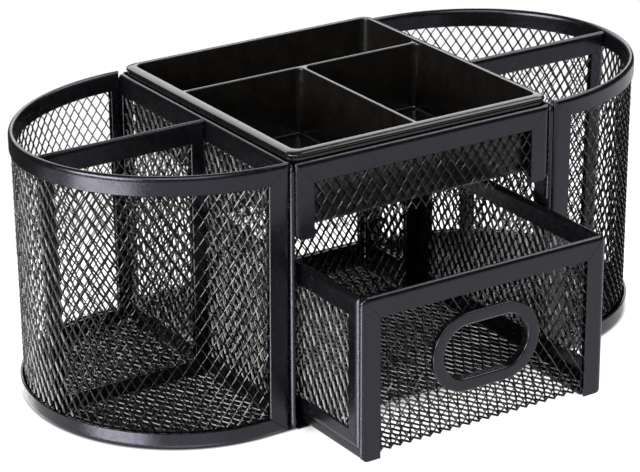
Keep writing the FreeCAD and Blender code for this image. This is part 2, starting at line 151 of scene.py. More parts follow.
# Camera, in degrees, metres and pixels of a 640 by 472 picture
CAMERA_AZIMUTH = -33.224
CAMERA_ELEVATION = 22.04
CAMERA_ROLL = -0.276
CAMERA_DISTANCE = 1.02887
CAMERA_FOCAL = 2795.4
CAMERA_TARGET = Vector((-0.00553, 0.0, 0.04249))
PICTURE_WIDTH = 640
SENSOR = 36.0

# Finishes
CLOUD_SCALE, CLOUD_DETAIL = 160, 5
GLOSS_SCALE, GLOSS_DETAIL = 420, 3
WAVE_SCALE, WAVE_DETAIL = 55, 1
GRAIN_SCALE, GRAIN_DETAIL = 2600, 2
NOISE_LOW, NOISE_HIGH = 0.3, 0.7
HEM_CREASE = 35              # degrees from which an edge stays sharp
STRAND_CREASE = 5
TRAY_CREASE = 30

# Studio
TABLE_SIDE = 0.6
TABLE_FRONT = -1.2
TABLE_REAR = 0.14
FLOOR_PAINT = 0.4
# SHADE_PAINT is the floor colour painted beneath the stand as its shade
SHADE_PAINT = 0.03
FLOOR_GLOW = 0.95
FLOOR_MIRRORED = 0.78        # the floor's own brightness where the coated steel mirrors it
FLOOR_POLISH = 0.7
FLOOR_ROUGHNESS = 0.2
DRAWER_SHADE = 62 * MM       # how far forward the painted shade beneath the drawer reaches
# where the painted shade beneath the stand and the drawer fades out
STAND_SHADE_EDGE = (0.98, 1.03)
DRAWER_SHADE_EDGE = (0.75, 1.15)
SURROUND = 0.06
LIGHT_TARGET = (0, 0, 0.05)
LIGHTS = (                   # name, place, width, height and power
    ("right_light", (0.62, -0.22, 0.80), 0.6, 0.5, 5),
    ("back_light", (0.35, 1.0, 0.75), 1.9, 0.8, 17),
    ("front_light", (-1.07, -0.25, 0.41), 0.75, 0.36, 19),
    ("upper_light", (-0.46, -0.80, 0.83), 0.8, 0.4, 6))

side_lo, side_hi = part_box("box_side_frame_right")
half_width, half_depth, box_height = side_hi.x, side_hi.y, side_hi.z
inner_half = side_lo.x
hem_thick = half_width - inner_half
half_hem = hem_thick / 2
rim_lo, rim_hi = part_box("cup_rim_right")
cup_height, rim_band, cup_reach = rim_hi.z, rim_hi.z - rim_lo.z, rim_hi.x - half_width
ring_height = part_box("cup_base_ring_right")[1].z
front_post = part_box("cup_front_post_right")[1].x - half_width
rear_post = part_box("cup_rear_post_right")[1].x - half_width


# ---------------------------------------------------------------- meshes

def enclosed_volume(points, groups):
    """Volume inside a closed surface: the sum over its corner fans of a . (b x c) / 6."""
    total = 0.0
    for faces in groups:
        first = points[faces[:, 0]]
        for n in range(1, faces.shape[1] - 1):
            fan = np.cross(points[faces[:, n]], points[faces[:, n + 1]])
            total += np.einsum("ij,ij->i", first, fan).sum() / 6
    return total


def facing_out(points, groups):
    """The same shell with its faces turned outwards."""
    if enclosed_volume(points, groups) < 0:
        groups = [faces[:, ::-1] for faces in groups]
    return points, groups


def piece(name, body, node, finish, shells, crease):
    """One object from closed shells: it rides on a body, stands for a node and takes a finish."""
    counts = np.cumsum([0] + [len(points) for points, _ in shells])
    points = np.concatenate([points for points, _ in shells])
    groups = [faces + first for (_, own), first in zip(shells, counts) for faces in own]
    corners = np.concatenate([faces.ravel() for faces in groups])
    sizes = np.concatenate([np.full(len(faces), faces.shape[1]) for faces in groups])
    mesh = bpy.data.meshes.new(name)
    mesh.vertices.add(len(points))
    mesh.vertices.foreach_set("co", points.astype(np.float32).ravel())
    mesh.loops.add(len(corners))
    mesh.loops.foreach_set("vertex_index", corners.astype(np.int32))
    mesh.polygons.add(len(sizes))
    mesh.polygons.foreach_set("loop_start", (np.cumsum(sizes) - sizes).astype(np.int32))
    mesh.update(calc_edges=True)
    mesh.shade_smooth()
    mesh.set_sharp_from_angle(angle=math.radians(crease))
    mesh.materials.append(finish)
    made = bpy.data.objects.new(name, mesh)
    bpy.context.scene.collection.objects.link(made)
    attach(made, body)
    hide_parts(node)


def grid_faces(rows, columns, closed=True):
    """Quads between neighbouring points of a grid; closed joins its last column to its first."""
    row = np.arange(rows - 1)[:, None] * columns
    here = np.arange(columns if closed else columns - 1)[None, :]
    after = (here + 1) % columns
    quads = np.stack([row + here, row + after, row + columns + after, row + columns + here], -1)
    return quads.reshape(-1, 4)


def loft(rings):
    """Surface through rings of equally many points (rings, points, 3), closed by flat ends."""
    rows, columns = rings.shape[:2]
    start = np.arange(columns)[::-1][None]
    end = np.arange(columns)[None] + (rows - 1) * columns
    return facing_out(rings.reshape(-1, 3), [grid_faces(rows, columns), start, end])


# ---------------------------------------------------------------- places

def flat_place(origin, across, up):
    """Panel in a plane: origin + u * across + v * up + w * (across x up)."""
    origin, across, up = (np.array(vector, float) for vector in (origin, across, up))
    outward = np.cross(across, up)

    def place(u, v, w):
        """The panel's point at u, v, w."""
        u, v, w = np.broadcast_arrays(u, v, w)
        return origin + u[..., None] * across + v[..., None] * up + w[..., None] * outward
    return place


def half_outline(straight, reach, half):
    """Half a cup's plan from nose to post, by share of its length: x, y and outward normal.

    A quarter ellipse x = knee + a cos t, y = half sin t, then a straight at y = half back to the housing.
    """
    turn = np.linspace(0, math.pi / 2, CURVE_STEPS + 1)
    knee, a = half_width + straight, reach - straight
    run = np.linspace(0, 1, STRAIGHT_STEPS + 1)[1:]
    x = np.concatenate([knee + a * np.cos(turn), knee - straight * run])
    y = np.concatenate([half * np.sin(turn), np.full(STRAIGHT_STEPS, half)])
    nx = np.concatenate([np.cos(turn) * half, np.zeros(STRAIGHT_STEPS)])
    ny = np.concatenate([np.sin(turn) * a, np.ones(STRAIGHT_STEPS)])
    size = np.hypot(nx, ny)
    length = np.concatenate([[0], np.cumsum(np.hypot(np.diff(x), np.diff(y)))])
    return length / length[-1], (x, y, nx / size, ny / size), length[-1]


rim_share, rim_line, rim_length = half_outline(CUP_RIM_STRAIGHT, cup_reach, half_depth)
foot_share, foot_line, foot_length = half_outline(
    CUP_FOOT_STRAIGHT, cup_reach - CUP_FOOT_DRAW_IN, half_depth - CUP_FOOT_TUCK)
cup_half = (rim_length + foot_length) / 2


def cup_place(side):
    """Curved cup wall: u runs along the outline from its nose, v up and w outwards.

    The point is (1 - v / height) of the foot's outline plus v / height of the rim's, at the same share of
    its length, moved along the normal by w less half a hem. side turns it half round for the left cup.
    """
    def place(u, v, w):
        """The wall's point at u, v, w."""
        u, v, w = np.broadcast_arrays(u, v, w)
        share = np.minimum(np.abs(u) / cup_half, 1)
        up = v / cup_height
        x, y, nx, ny = (
            (1 - up) * np.interp(share, foot_share, foot) + up * np.interp(share, rim_share, rim)
            for foot, rim in zip(foot_line, rim_line))
        size = np.hypot(nx, ny)
        out = (w - half_hem) / size
        sign = np.where(u < 0, -1, 1)
        return np.stack([side * (x + out * nx), side * sign * (y + out * ny), v], -1)
    return place


def divider_place(side, y, width, lean):
    """Cup divider, seen from the front: u across, stretched so that its outer end leans with the wall.

    x = housing + reach * (1 + (v / height - 1) * lean / width), where reach is counted from the housing.
    """
    def place(u, v, w):
        """The divider's point at u, v, w."""
        u, v, w = np.broadcast_arrays(u, v, w)
        reach = u if side > 0 else width - u
        x = half_width + reach * (1 + (v / cup_height - 1) * lean / width)
        return np.stack([side * x, y - w, v], -1)
    return place


# ---------------------------------------------------------------- expanded metal

def strands(k, v0, v1, place, phase=0.0):
    """Expanded metal: band k of each span zigzags up from v0 to v1.

    With pitch p and diamond height h, band k lies at u = (k +- 1/2) p less or plus its share of a knot,
    turn about at every h / 2, so it meets band k + 1 at one level and band k - 1 at the next. At a knot the
    two strands lie side by side on the slope of the tilt, one proud of the panel and one behind it. A
    strand's section is a rectangle whose wide sides rise to a ridge. It is turned by the tilt, and by a
    little more or less at each knot.
    """
    k, v0, v1 = (np.asarray(a, float)[:, None] for a in (k, v0, v1))
    step = DIAMOND_TALL / 2
    lowest = math.floor((v0.min() - phase) / step) - 1
    highest = math.ceil((v1.max() - phase) / step) + 1
    level = np.arange(lowest, highest + 1)
    lean = np.where((k + level) % 2 == 0, 1.0, -1.0)
    shift = KNOT_OVERLAP * STRAND_WIDTH
    u = (k + lean / 2) * DIAMOND_WIDE / 2 - lean * shift * math.cos(STRAND_TILT)
    w = -lean * shift * math.sin(STRAND_TILT)
    v = phase + level * step + np.zeros_like(u)
    u, w = np.repeat(u, 2, 1), np.repeat(w, 2, 1)
    v = np.stack([v - KNOT_LENGTH / 2, v + KNOT_LENGTH / 2], -1).reshape(len(u), -1)

    def at_ends(values):
        """Values where a span is cut short, between the stations on both sides of the cut."""
        gap = np.diff(v, axis=1)
        slope = np.diff(values, axis=1) / gap
        low = np.clip((v0 - v[:, :-1]) / gap, 0, 1) * gap * slope
        high = np.clip((v[:, 1:] - v1) / gap, 0, 1) * gap * slope
        return values + np.pad(low, ((0, 0), (0, 1))) - np.pad(high, ((0, 0), (1, 0)))

    u, w = at_ends(u), at_ends(w)
    v = np.clip(v, v0, v1)
    wide = STRAND_WIDTH / 2 * np.array([0, 1, 1, 0, -1, -1])
    ridge = STRAND_CROWN * np.array([1, 0, 0, -1, 0, 0])
    thick = STRAND_THICK / 2 * np.array([1, 1, -1, -1, -1, 1]) + ridge
    spread = np.random.default_rng(TILT_SEED).normal(0, TILT_SPREAD, (len(k), len(level)))
    tilt = np.repeat(STRAND_TILT + spread, 2, 1)[..., None]
    ring_u = wide * np.cos(tilt) - thick * np.sin(tilt)
    ring_w = wide * np.sin(tilt) + thick * np.cos(tilt)
    points = place(u[..., None] + ring_u, v[..., None], w[..., None] + ring_w)

    live = np.diff(v, axis=1) > SHORTEST
    before = np.pad(live, ((0, 0), (1, 0)))[:, :-1]
    after = np.pad(live, ((0, 0), (0, 1)))[:, 1:]
    spans, stations = v.shape
    first = (np.arange(spans)[:, None] * stations + np.arange(stations - 1)) * STRAND_SIDES
    side = np.arange(STRAND_SIDES)
    beside = (side + 1) % STRAND_SIDES
    low = first[live][:, None]
    high = low + STRAND_SIDES
    sides = np.stack([low + side, low + beside, high + beside, high + side], -1)
    starts = first[live & ~before][:, None] + side[::-1]
    ends = first[live & ~after][:, None] + STRAND_SIDES + side
    groups = [sides.reshape(-1, 4), starts, ends]
    used = np.unique(np.concatenate([faces.ravel() for faces in groups]))
    return points.reshape(-1, 3)[used], [np.searchsorted(used, faces) for faces in groups]


def bands(u0, u1):
    """Numbers of the bands whose middles lie between u0 and u1."""
    pitch = DIAMOND_WIDE / 2
    return np.arange(math.ceil(u0 / pitch), math.floor(u1 / pitch) + 1)


def sheet(extent, place, phase=0.0):
    """Expanded metal over a rectangle of a panel."""
    u0, u1, v0, v1 = extent
    k = bands(u0, u1)
    return strands(k, np.full(len(k), v0), np.full(len(k), v1), place, phase)


# ---------------------------------------------------------------- folded hems

def fold_section(width, front, back):
    """Closed section of a hem, a inwards from its folded edge and w outwards.

    Half an ellipse as wide as the hem is thick joins two flats, and the inside line follows one gauge in.
    """
    radius, middle = (front + back) / 2, (front - back) / 2
    turn = np.linspace(math.pi / 2, -math.pi / 2, FOLD_STEPS + 1)
    flats = np.array([width - LIP_ROUND, (width + PANEL_CORNER) / 2, PANEL_CORNER,
                      FLAT_START * PANEL_CORNER])
    flats = flats[(flats > FOLD_DEPTH) & (flats <= width - LIP_ROUND)]
    ones = np.ones(len(flats))

    def line(inset, lip):
        """The section's line that far inside its outer face, with its two ends drawn in by the lip."""
        size = radius - inset
        fold = FOLD_DEPTH - (FOLD_DEPTH - inset) * np.cos(turn)
        a = np.concatenate([[width], flats, fold, flats[::-1], [width]])
        w = np.concatenate([[size - lip], size * ones, size * np.sin(turn), -size * ones, [lip - size]])
        return a, middle + w

    outer, inner = line(0.0, LIP_ROUND), line(SHEET, 0.0)
    return [np.concatenate([o, i[::-1]]) for o, i in zip(outer, inner)]


def hem_end(a, width, neighbour, corner, free):
    """Lines across a hem's end, from its body to its tip: distances from the panel's corner and its edge.

    A free end is square with its corner rounded. A mitred one ends on the slope between both widths, and
    round a corner its outer points follow the arc to half way.
    """
    if not neighbour:
        reach = np.clip(free - a, 0, free)
        return [(free - np.sqrt(free**2 - reach**2), a)]
    mitre = a * neighbour / width + MITRE_GAP / 2
    if not corner:
        return [(mitre, a)]
    lines = []
    for share in np.linspace(0, 1, CORNER_STEPS + 1):
        turn = share * math.pi / 4
        arc = corner + MITRE_GAP / 2 - (corner - a) * math.sin(turn)
        inwards = corner - (corner - a) * math.cos(turn)
        lines.append((np.where(a < corner, arc, mitre + (1 - share) * CORNER_LEAD),
                      np.where(a < corner, inwards, a)))
    return lines


def hem(edge, extent, widths, place, front=half_hem, back=half_hem, corner=0.0, free=0.0, steps=1):
    """One folded strip along an edge of a panel, travelling anticlockwise as seen from outside."""
    u0, u1, v0, v1 = extent
    order = ("bottom", "right", "top", "left")
    at = order.index(edge)
    width = widths[edge]
    before, after = widths.get(order[at - 1]), widths.get(order[(at + 1) % 4])
    level = edge in ("bottom", "top")
    length = u1 - u0 if level else v1 - v0
    a, w = fold_section(width, front, back)
    starts = hem_end(a, width, before, corner, free)[::-1]
    ends = [(length - s, inwards) for s, inwards in hem_end(a, width, after, corner, free)]
    first, last = starts[-1][0], ends[0][0]
    body = [(first + (last - first) * share, a) for share in np.linspace(0, 1, steps + 1)[1:-1]]
    s, inwards = (np.array(values) for values in zip(*starts, *body, *ends))
    u, v = {"bottom": (u0 + s, v0 + inwards), "right": (u1 - inwards, v0 + s),
            "top": (u1 - s, v1 - inwards), "left": (u0 + inwards, v1 - s)}[edge]
    points = place(u, v, w)
    rows, columns = s.shape
    outer = np.arange(columns // 2 - 1)
    inner = columns - 1 - outer
    cap = np.stack([outer, outer + 1, inner - 1, inner], -1)
    return points.reshape(-1, 3), [grid_faces(rows, columns), cap[:, ::-1], cap + (rows - 1) * columns]


def hem_frame(extent, widths, place, **sizes):
    """All the hems of a panel."""
    return [hem(edge, extent, widths, place, **sizes) for edge in widths]


# ---------------------------------------------------------------- finishes

def noise(nodes, links, coordinates, scale, detail, low, high):
    """A noise of the given scale, spread between two values."""
    texture = nodes.new("ShaderNodeTexNoise")
    texture.inputs["Scale"].default_value = scale
    texture.inputs["Detail"].default_value = detail
    spread = nodes.new("ShaderNodeMapRange")
    spread.inputs["From Min"].default_value = NOISE_LOW
    spread.inputs["From Max"].default_value = NOISE_HIGH
    spread.inputs["To Min"].default_value = low
    spread.inputs["To Max"].default_value = high
    links.new(coordinates, texture.inputs["Vector"])
    links.new(texture.outputs["Fac"], spread.inputs["Value"])
    return spread.outputs["Result"]


def coating(name, dark, light, roughness, grain, wave, tint=(1, 1, 1)):
    """A black finish: cloudy colour, uneven gloss, a fine grain and the slow waviness of the surface."""
    material = bpy.data.materials.new(name)
    material.use_nodes = True
    nodes, links = material.node_tree.nodes, material.node_tree.links
    shader = nodes["Principled BSDF"]
    coordinates = nodes.new("ShaderNodeTexCoord").outputs["Object"]
    tone = nodes.new("ShaderNodeValToRGB")
    tone.color_ramp.elements[0].color = (*dark, 1)
    tone.color_ramp.elements[1].color = (*light, 1)
    links.new(noise(nodes, links, coordinates, CLOUD_SCALE, CLOUD_DETAIL, 0, 1), tone.inputs["Fac"])
    links.new(tone.outputs["Color"], shader.inputs["Base Color"])
    links.new(noise(nodes, links, coordinates, GLOSS_SCALE, GLOSS_DETAIL, *roughness),
              shader.inputs["Roughness"])
    slow = nodes.new("ShaderNodeBump")
    slow.inputs["Distance"].default_value = wave
    links.new(noise(nodes, links, coordinates, WAVE_SCALE, WAVE_DETAIL, 0, 1), slow.inputs["Height"])
    fine = nodes.new("ShaderNodeBump")
    fine.inputs["Distance"].default_value = grain
    links.new(noise(nodes, links, coordinates, GRAIN_SCALE, GRAIN_DETAIL, 0, 1), fine.inputs["Height"])
    links.new(slow.outputs["Normal"], fine.inputs["Normal"])
    links.new(fine.outputs["Normal"], shader.inputs["Normal"])
    shader.inputs["Specular Tint"].default_value = (*tint, 1)
    return material


strand_finish = coating("black_coated_strands", dark=(0.0015, 0.0015, 0.0014),
                        light=(0.0035, 0.0035, 0.0032), roughness=(0.18, 0.28),
                        grain=0.008 * MM, wave=0.03 * MM)
hem_finish = coating("black_coated_hems", dark=(0.0018, 0.0016, 0.0019),
                     light=(0.0034, 0.0031, 0.0038), roughness=(0.20, 0.30),
                     grain=0.010 * MM, wave=0.10 * MM, tint=(0.86, 0.82, 1.0))
tray_finish = coating("black_moulded_tray", dark=(0.003, 0.0026, 0.0022),
                      light=(0.006, 0.0052, 0.0045), roughness=(0.18, 0.28),
                      grain=0.006 * MM, wave=0.06 * MM)


def hems(name, node, body, shells):
    """A hem piece in its finish."""
    piece(name, body, node, hem_finish, shells, HEM_CREASE)


def expanded(name, node, body, shell):
    """A mesh piece in its finish."""
    piece(name, body, node, strand_finish, [shell], STRAND_CREASE)


# ---------------------------------------------------------------- housing

def side_panels():
    """Both side panels, full depth and height, with rounded corners."""
    extent = (-half_depth, half_depth, 0, box_height)
    edge = HEM_WIDTH - GRIP
    for side, hand in ((1, "right"), (-1, "left")):
        widths = {"bottom": HEM_WIDTH, "right": HEM_WIDTH, "top": HEM_WIDTH, "left": HEM_WIDTH}
        widths["right" if side > 0 else "left"] = SIDE_REAR_POST
        place = flat_place((side * (half_width - half_hem), 0, 0), (0, side, 0), (0, 0, 1))
        hems(f"side_hems_{hand}", f"box_side_frame_{hand}", "stand",
             hem_frame(extent, widths, place, corner=PANEL_CORNER))
        inside = (edge - half_depth, half_depth - edge, edge, box_height - edge)
        expanded(f"side_strands_{hand}", f"box_side_mesh_{hand}", "stand", sheet(inside, place))


def rear_panel():
    """The rear panel between the side panels, with narrow posts."""
    lo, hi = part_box("box_rear_frame")
    mesh_lo, mesh_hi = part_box("box_rear_mesh")
    place = flat_place((0, hi.y - half_hem, 0), (-1, 0, 0), (0, 0, 1))
    widths = {"bottom": HEM_WIDTH, "right": REAR_PANEL_POST, "top": HEM_WIDTH, "left": REAR_PANEL_POST}
    hems("rear_hems", "box_rear_frame", "stand", hem_frame((lo.x, hi.x, lo.z, hi.z), widths, place))
    expanded("rear_strands", "box_rear_mesh", "stand",
             sheet((mesh_lo.x, mesh_hi.x, mesh_lo.z, mesh_hi.z), place))


def front_panel():
    """The short front panel above the drawer: a rail, two posts and a raw lower edge of open diamonds."""
    lo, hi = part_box("box_front_frame")
    mesh_lo, mesh_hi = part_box("box_front_mesh")
    place = flat_place((0, lo.y + half_hem, 0), (1, 0, 0), (0, 0, 1))
    widths = {"right": FRONT_PANEL_POST, "top": HEM_WIDTH, "left": FRONT_PANEL_POST}
    hems("front_hems", "box_front_frame", "stand",
         hem_frame((lo.x, hi.x, lo.z, hi.z), widths, place, free=PANEL_CORNER))
    first_knots = mesh_lo.z + KNOT_LENGTH / 2
    expanded("front_strands", "box_front_mesh", "stand",
             sheet((mesh_lo.x, mesh_hi.x, mesh_lo.z, mesh_hi.z), place, first_knots))


def floor_panel():
    """The housing's floor, folded over the top of its mesh."""
    lo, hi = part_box("box_floor_frame")
    mesh_lo, mesh_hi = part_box("box_floor_mesh")
    half = hi.z / 2
    place = flat_place((0, 0, half), (1, 0, 0), (0, -1, 0))
    widths = dict.fromkeys(("bottom", "right", "top", "left"), HEM_WIDTH)
    hems("floor_hems", "box_floor_frame", "stand",
         hem_frame((lo.x, hi.x, -hi.y, -lo.y), widths, place, front=half, back=half))
    expanded("floor_strands", "box_floor_mesh", "stand",
             sheet((mesh_lo.x, mesh_hi.x, -mesh_hi.y, -mesh_lo.y), place))


# ---------------------------------------------------------------- cups

def cup_floor(side):
    """The cup's floor: bands that run front to back and end inside the base ring.

    The band at x ends at y = +- half * sqrt(1 - t^2), t being its share of the way from knee to nose.
    """
    lo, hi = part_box("cup_floor_mesh_right")
    straight, reach = CUP_FOOT_STRAIGHT, hi.x - half_width
    half = hi.y
    k = bands(lo.x + STRAND_WIDTH, hi.x - STRAND_WIDTH)
    u = k * DIAMOND_WIDE / 2
    along = np.clip((u - half_width - straight) / (reach - straight), 0, 1)
    ends = half * np.sqrt(1 - along**2)
    place = flat_place((0, 0, lo.z + MESH_THICK / 2), (side, 0, 0), (0, side, 0))
    return strands(k, -ends, ends, place)


def cups():
    """Both cups: wall, rim, base ring, posts, floor and divider."""
    extent = (-cup_half, cup_half, 0, cup_height)
    wall_lo, wall_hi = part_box("cup_wall_mesh_right")
    divider_lo, divider_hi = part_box("cup_divider_frame_right")
    mesh_lo, mesh_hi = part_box("cup_divider_mesh_right")
    width = divider_hi.x - half_width
    edge = DIVIDER_END_HEM - GRIP
    mesh_half = cup_half - (HEM_WIDTH - GRIP)
    for side, hand in ((1, "right"), (-1, "left")):
        place = cup_place(side)
        posts = (rear_post, front_post) if side > 0 else (front_post, rear_post)
        widths = {"bottom": ring_height, "right": posts[0], "top": rim_band, "left": posts[1]}
        hems(f"cup_rim_fold_{hand}", f"cup_rim_{hand}", "stand",
             [hem("top", extent, widths, place, steps=CUP_STEPS)])
        hems(f"cup_base_channel_{hand}", f"cup_base_ring_{hand}", "stand",
             [hem("bottom", extent, widths, place, front=half_hem + RING_PROUD, steps=CUP_STEPS)])
        for edge_name, end in (("left", -1), ("right", 1)):
            where = "rear" if end * side > 0 else "front"
            hems(f"cup_{where}_post_fold_{hand}", f"cup_{where}_post_{hand}", "stand",
                 [hem(edge_name, extent, widths, place)])
        expanded(f"cup_wall_strands_{hand}", f"cup_wall_mesh_{hand}", "stand",
                 sheet((-mesh_half, mesh_half, wall_lo.z, wall_hi.z), place))
        expanded(f"cup_floor_strands_{hand}", f"cup_floor_mesh_{hand}", "stand", cup_floor(side))

        upright = divider_place(side, (divider_lo.y + divider_hi.y) / 2, width, CUP_FOOT_DRAW_IN)
        frame_widths = {"bottom": DIVIDER_END_HEM, "right": DIVIDER_END_HEM,
                        "top": HEM_WIDTH, "left": DIVIDER_END_HEM}
        hems(f"cup_divider_hems_{hand}", f"cup_divider_frame_{hand}", "stand",
             hem_frame((0, width, divider_lo.z, divider_hi.z), frame_widths, upright))
        expanded(f"cup_divider_strands_{hand}", f"cup_divider_mesh_{hand}", "stand",
                 sheet((edge, width - edge, mesh_lo.z, mesh_hi.z), upright))


# ---------------------------------------------------------------- drawer

def drawer_path(y0, y1, z0, z1):
    """Place on the drawer's bent sheet: v runs down the rear, along the floor and up the front.

    Five stretches follow each other by length: three straights with a quarter circle between each two.
    """
    r = BEND_RADIUS
    turn = np.linspace(0, math.pi / 2, BEND_STEPS + 1)
    y = np.concatenate([[y1], y1 - r + r * np.cos(turn), y0 + r - r * np.sin(turn), [y0]])
    z = np.concatenate([[z1], z0 + r - r * np.sin(turn), z0 + r - r * np.cos(turn), [z1]])
    ny = np.concatenate([[1], np.cos(turn), -np.sin(turn), [-1]])
    nz = np.concatenate([[0], -np.sin(turn), -np.cos(turn), [0]])
    v_line = np.concatenate([[0], np.cumsum(np.hypot(np.diff(y), np.diff(z)))])

    def place(u, v, w):
        """The bent sheet's point at u, v, w."""
        u, v, w = np.broadcast_arrays(u, v, w)
        py, pz, qy, qz = (np.interp(v, v_line, line) for line in (y, z, ny, nz))
        return np.stack([u, py + w * qy, pz + w * qz], -1)
    return place, v_line[-1]


def drawer_sheet(front_y, ring_lo, ring_hi):
    """The drawer's front, floor and rear, one bent sheet whose front has a hole behind the finger ring.

    The hole is a stadium: the band at u stops sqrt(radius^2 - (|u| - run)^2) from its middle line, or a
    full radius where |u| is less than run.
    """
    mesh_lo, mesh_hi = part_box("drawer_sheet_mesh")
    behind = (hem_thick - SOLID_SHEET) / 2
    y0, y1 = front_y + half_hem, mesh_hi.y + behind - half_hem
    z0 = mesh_lo.z + MESH_THICK / 2
    place, total = drawer_path(y0, y1, z0, mesh_hi.z)
    k = bands(mesh_lo.x, mesh_hi.x)
    u = np.abs(k * DIAMOND_WIDE / 2)
    middle = total - (mesh_hi.z - (ring_lo.z + ring_hi.z) / 2)
    radius = (ring_hi.z - ring_lo.z) / 2 - RING_HOLE_BAND
    run = (ring_hi.x - ring_lo.x) / 2 - (ring_hi.z - ring_lo.z) / 2
    half = np.sqrt(np.clip(radius**2 - np.clip(u - run, 0, None)**2, 0, None))
    cut = half > 0
    spans = (np.concatenate([k, k[cut]]), np.concatenate([np.zeros(len(k)), (middle + half)[cut]]),
             np.concatenate([np.where(cut, middle - half, total), np.full(cut.sum(), total)]))
    expanded("drawer_sheet_strands", "drawer_sheet_mesh", "drawer", strands(*spans, place))


def pressed_ring(section, run, z):
    """A ring section (radius, y) carried round a stadium: two half circles joined by straights."""
    turn = np.linspace(-math.pi / 2, math.pi / 2, RING_STEPS + 1)
    angle = np.concatenate([turn, turn + math.pi])[:, None]
    middle = np.repeat([run, -run], RING_STEPS + 1)[:, None]
    radius, y = np.array(section).T
    points = np.stack([middle + radius * np.cos(angle), y + 0 * angle, z + radius * np.sin(angle)], -1)
    rows, columns = points.shape[:2]
    faces = grid_faces(rows + 1, columns) % (rows * columns)
    return facing_out(points.reshape(-1, 3), [faces])


def finger_rings(lo, hi):
    """The front eyelet with its rolled mouth and collar, and the flat ring that clamps it from behind."""
    back_lo, back_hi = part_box("finger_ring_back")
    outer = (hi.z - lo.z) / 2
    run, z = (hi.x - lo.x) / 2 - outer, (hi.z + lo.z) / 2
    mouth = outer - RING_BAND
    face, seat, heel = lo.y, back_lo.y - RING_SEAT, back_lo.y
    turn = np.linspace(0, math.pi / 2, ROLL_STEPS + 1)
    roll, edge = RING_ROLL, RING_EDGE
    inner_roll = list(zip(mouth + roll - roll * np.cos(turn), face + roll - roll * np.sin(turn)))
    outer_roll = list(zip(outer - edge + edge * np.sin(turn), face + edge - edge * np.cos(turn)))
    collar = mouth + RING_COLLAR
    section = (inner_roll + [(outer - RING_BEVEL, face)] + outer_roll
               + [(outer, seat), (collar, seat), (collar, heel), (mouth, heel)])
    hems("finger_ring_eyelet", "finger_ring_front", "drawer", [pressed_ring(section, run, z)])
    back_outer = (back_hi.z - back_lo.z) / 2
    soft = WASHER_EDGE
    section = [(mouth, heel), (mouth, back_hi.y - soft), (mouth + soft, back_hi.y),
               (back_outer - soft, back_hi.y), (back_outer, back_hi.y - soft), (back_outer, heel)]
    hems("finger_ring_washer", "finger_ring_back", "drawer", [pressed_ring(section, run, z)])


def drawer_ends():
    """The hems round the top and upright edges of the drawer's front and rear."""
    front_lo, front_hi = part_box("drawer_front_frame")
    rear_lo, rear_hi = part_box("drawer_rear_frame")
    for end, y, facing, post, lo, hi in (
            ("front", front_lo.y + half_hem, 1, DRAWER_POST, front_lo, front_hi),
            ("rear", rear_hi.y - half_hem, -1, HEM_WIDTH, rear_lo, rear_hi)):
        place = flat_place((0, y, 0), (facing, 0, 0), (0, 0, 1))
        widths = {"right": post, "top": HEM_WIDTH, "left": post}
        hems(f"drawer_{end}_hems", f"drawer_{end}_frame", "drawer",
             hem_frame((lo.x, hi.x, lo.z, hi.z), widths, place, corner=DRAWER_CORNER, free=DRAWER_CORNER))


def drawer_sides():
    """Both side panels of the drawer and the folded runners that carry them."""
    edge = DRAWER_SIDE_HEM - GRIP
    for side, hand in ((1, "right"), (-1, "left")):
        lo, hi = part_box(f"drawer_side_frame_{hand}")
        extent = (min(side * lo.y, side * hi.y), max(side * lo.y, side * hi.y), lo.z, hi.z)
        place = flat_place(((lo.x + hi.x) / 2, 0, 0), (0, side, 0), (0, 0, 1))
        widths = {"bottom": DRAWER_SIDE_HEM, "right": DRAWER_SIDE_HEM,
                  "top": HEM_WIDTH, "left": DRAWER_SIDE_HEM}
        hems(f"drawer_side_hems_{hand}", f"drawer_side_frame_{hand}", "drawer",
             hem_frame(extent, widths, place))
        inside = (extent[0] + edge, extent[1] - edge, lo.z + edge, hi.z - (HEM_WIDTH - GRIP))
        expanded(f"drawer_side_strands_{hand}", f"drawer_side_mesh_{hand}", "drawer", sheet(inside, place))
        hems(f"drawer_runner_fold_{hand}", f"drawer_runner_{hand}", "drawer", [runner(side, hand)])


def runner(side, hand):
    """An L-shaped strip: an upright, a quarter-circle bend and a foot, carried along the drawer's side."""
    lo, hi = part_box(f"drawer_runner_{hand}")
    outer = max(abs(lo.x), abs(hi.x))
    toe = min(abs(lo.x), abs(hi.x))
    gauge, bend = RUNNER_GAUGE, RUNNER_BEND
    turn = np.linspace(0, math.pi / 2, RUNNER_STEPS + 1)
    outside = list(zip(outer - bend + bend * np.cos(turn), lo.z + bend - bend * np.sin(turn)))
    small = bend - gauge
    inside = list(zip(outer - bend + small * np.cos(turn), lo.z + bend - small * np.sin(turn)))[::-1]
    section = np.array([(outer, hi.z)] + outside + [(toe, lo.z), (toe, lo.z + gauge)] + inside
                       + [(outer - gauge, hi.z)])
    rings = np.array([[(side * x, y, z) for x, z in section] for y in (lo.y, hi.y)])
    return loft(rings)


def drawer():
    """The whole drawer."""
    ring_lo, ring_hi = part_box("finger_ring_front")
    drawer_sheet(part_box("drawer_front_frame")[0].y, ring_lo, ring_hi)
    finger_rings(ring_lo, ring_hi)
    drawer_ends()
    drawer_sides()


# ---------------------------------------------------------------- tray

def rounded_ring(half_x, half_y, radius, z):
    """A rounded rectangle, anticlockwise from above: quarter circles about four middles."""
    turn = np.linspace(0, math.pi / 2, TRAY_CORNER_STEPS + 1)
    quarters = np.arange(4)[:, None] * math.pi / 2
    sx = np.array([1, -1, -1, 1])[:, None]
    sy = np.array([1, 1, -1, -1])[:, None]
    x = sx * (half_x - radius) + radius * np.cos(turn + quarters)
    y = sy * (half_y - radius) + radius * np.sin(turn + quarters)
    return np.stack([x.ravel(), y.ravel(), np.full(x.size, z)], -1)


